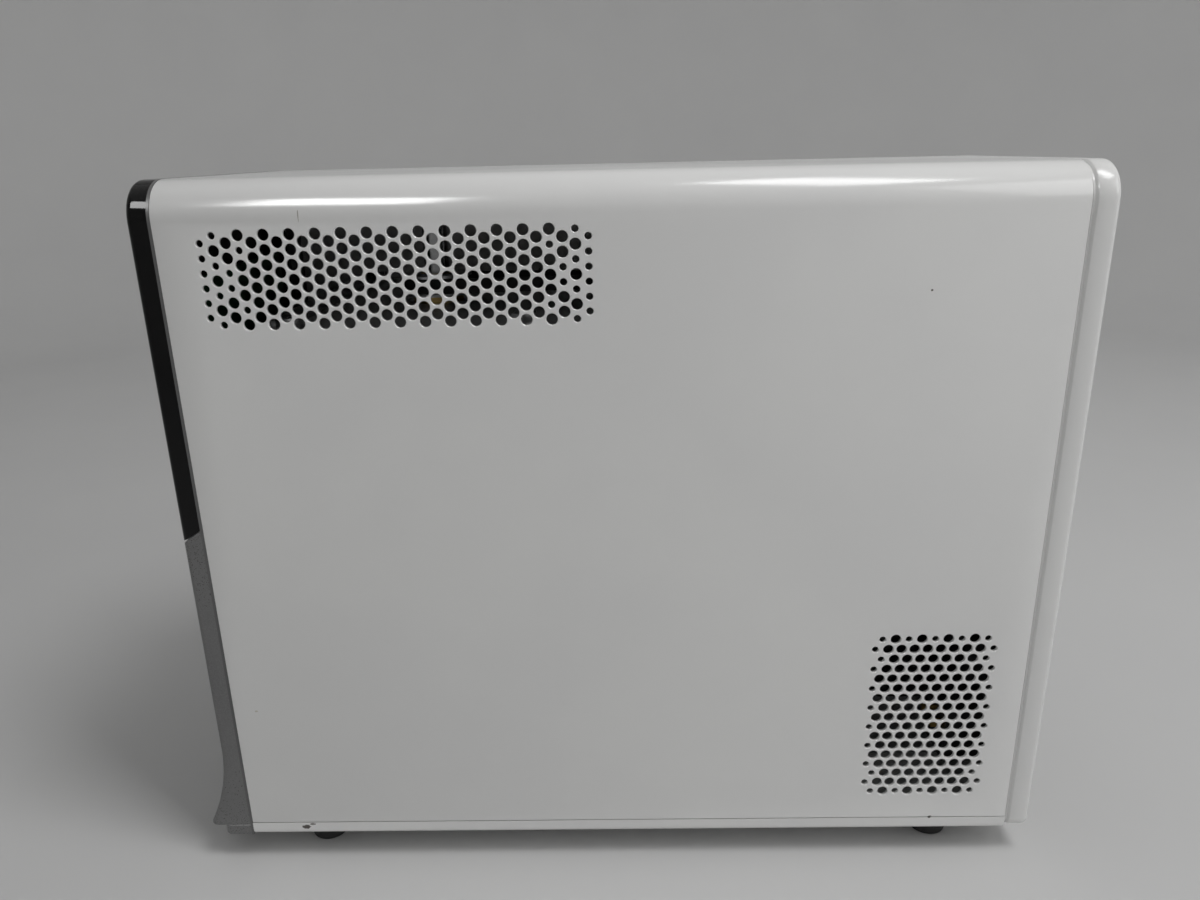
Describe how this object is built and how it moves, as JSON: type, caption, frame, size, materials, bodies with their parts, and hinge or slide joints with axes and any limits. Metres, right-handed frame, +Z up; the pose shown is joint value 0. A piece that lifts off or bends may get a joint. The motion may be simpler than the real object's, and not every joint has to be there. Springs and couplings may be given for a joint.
{
  "type": "plate heat sealer",
  "caption": "Bench heat sealer for laboratory microplates, with a sliding plate drawer, a lowering heated platen and a touch screen in a tall white housing.",
  "frame": {"origin": "middle of the object's footprint at the level of its feet", "axes": "+Z up, the front with the drawer faces -Y, +X is the side with the vents"},
  "size_m": [0.178, 0.404, 0.328],
  "materials": {
    "white_paint": "gloss powder coat",
    "white_moulding": "gloss",
    "grey_plate": "satin",
    "black_gloss": "high gloss",
    "silver_paint": "satin metallic",
    "black_rubber": "matte",
    "screen_glass": "polished",
    "screen": "satin",
    "circuit_board": "satin",
    "aluminium": "machined",
    "blue_anodised": "anodised",
    "ground_steel": "ground",
    "sheet_steel": "zinc plated",
    "brass": "machined",
    "motor_black": "satin",
    "insulation": "matte",
    "black_plastic": "satin",
    "plated_metal": "bright"
  },
  "bodies": {
    "housing": {"cover": "white_paint", "base_tray": "white_paint", "rear_bezel": "white_moulding", "front_frame": "grey_plate", "rear_panel": "grey_plate", "upper_fascia": "black_gloss", "lower_bezel": "silver_paint", "rubber_feet": "black_rubber", "lift_belt": "black_rubber", "touch_glass": "screen_glass", "display_module": "screen", "display_board": "circuit_board", "main_board": "circuit_board", "press_base_plate": "aluminium", "press_top_plate": "aluminium", "base_standoffs": "aluminium", "guide_columns": "ground_steel", "drawer_rails": "ground_steel", "nut_bearing": "ground_steel", "column_nuts": "ground_steel", "board_standoffs": "ground_steel", "panel_screws": "ground_steel", "heat_shield": "sheet_steel", "board_bracket": "sheet_steel", "power_supply": "sheet_steel", "inlet_pins": "brass", "lift_motor": "motor_black", "drawer_motor": "motor_black", "power_inlet": "black_plastic", "fuse_drawer": "black_plastic", "switch_housing": "black_plastic", "fan_frame": "black_plastic", "data_ports": "plated_metal", "fan_guard": "plated_metal"},
    "drawer": {"drawer_front": "silver_paint", "drawer_carriage": "aluminium", "guide_blocks": "ground_steel", "drawer_rack": "ground_steel", "plate_nest": "aluminium", "plate_adapter": "aluminium", "seal_frame": "blue_anodised"},
    "press_head": {"sealing_platen": "aluminium", "heater_block": "aluminium", "cartridge_heaters": "ground_steel", "temperature_sensor": "ground_steel", "insulation_board": "insulation", "insulating_spacers": "insulation", "crosshead": "aluminium", "linear_bushes": "brass", "screw_clamp": "aluminium", "lift_screw": "ground_steel"},
    "nut_drive": {"lift_nut": "brass", "nut_pulley": "aluminium"},
    "lift_motor_rotor": {"motor_pulley": "aluminium", "lift_motor_shaft": "ground_steel"},
    "drawer_drive": {"drawer_pinion": "ground_steel", "drawer_motor_shaft": "ground_steel"},
    "fan": {"fan_rotor": "black_plastic"},
    "rocker": {"power_rocker": "black_plastic"}
  },
  "joints": [
    {"name": "drawer_slide", "type": "slide", "parent": "housing", "child": "drawer", "axis": [0, -1, 0], "range_m": [0, 0.16]},
    {"name": "platen_lift", "type": "slide", "parent": "housing", "child": "press_head", "axis": [0, 0, 1], "range_m": [-0.031, 0]},
    {"name": "nut_turn", "type": "hinge", "parent": "housing", "child": "nut_drive", "pos_m": [0, -0.085, 0.27], "axis": [0, 0, 1], "range_deg": [0, 2791]},
    {"name": "lift_motor_turn", "type": "hinge", "parent": "housing", "child": "lift_motor_rotor", "pos_m": [0, 0.01, 0.25], "axis": [0, 0, 1], "range_deg": [0, 6697]},
    {"name": "pinion_turn", "type": "hinge", "parent": "housing", "child": "drawer_drive", "pos_m": [0.008, -0.102, 0.045], "axis": [0, 0, 1], "range_deg": [-680.1, 0]},
    {"name": "fan_turn", "type": "hinge", "parent": "housing", "child": "fan", "pos_m": [0, 0.175, 0.243], "axis": [0, 1, 0], "continuous": true},
    {"name": "power_switch", "type": "hinge", "parent": "housing", "child": "rocker", "pos_m": [0.05, 0.187, 0.092], "axis": [1, 0, 0], "range_deg": [0, 16]}
  ],
  "couplings": [
    {"joint": "nut_turn", "follows": "platen_lift", "rad_per_m": -1570.8},
    {"joint": "lift_motor_turn", "follows": "platen_lift", "rad_per_m": -3769.9},
    {"joint": "pinion_turn", "follows": "drawer_slide", "rad_per_m": -74.074}
  ]
}
